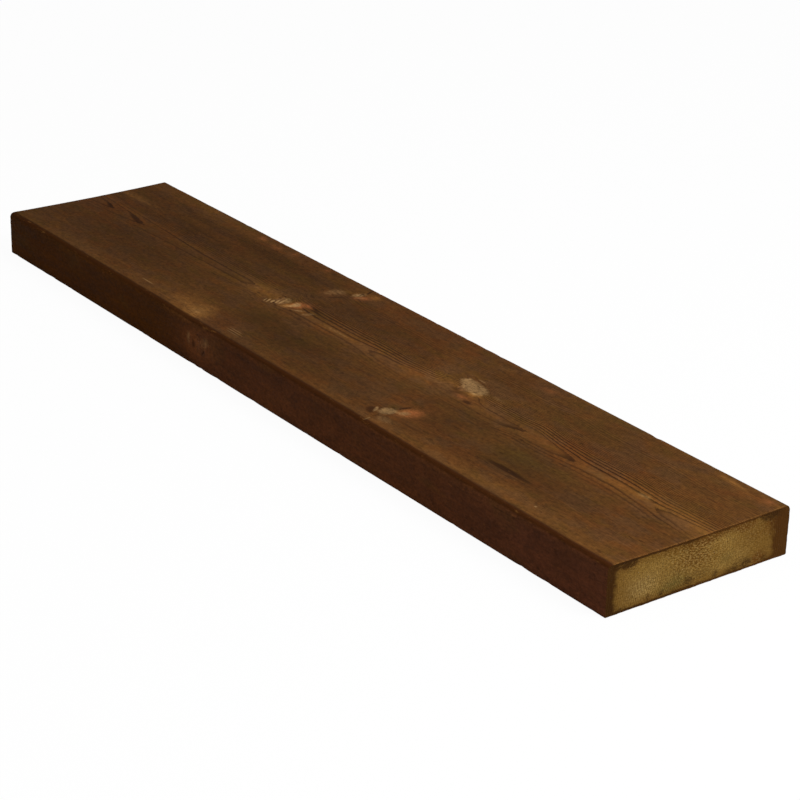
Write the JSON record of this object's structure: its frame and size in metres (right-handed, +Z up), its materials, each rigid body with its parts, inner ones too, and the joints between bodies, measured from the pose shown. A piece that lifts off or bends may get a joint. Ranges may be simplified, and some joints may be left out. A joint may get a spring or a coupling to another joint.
{
  "type": "decking board",
  "caption": "Short length of brown-treated softwood decking, rectangular with a slightly hollow walking face, rounded upper arrises and square-sawn ends.",
  "frame": {"origin": "middle of the underside, the face that rests on the joists", "axes": "+X along the grain towards the paler sawn end, +Y across the board, +Z up out of the walking face"},
  "size_m": [0.6, 0.12, 0.028],
  "materials": {
    "brown_treated_softwood": "planed and pressure treated brown, matt, with knots, grain and sawn ends"
  },
  "bodies": {
    "root": {"decking_board": "brown_treated_softwood"}
  },
  "joints": []
}
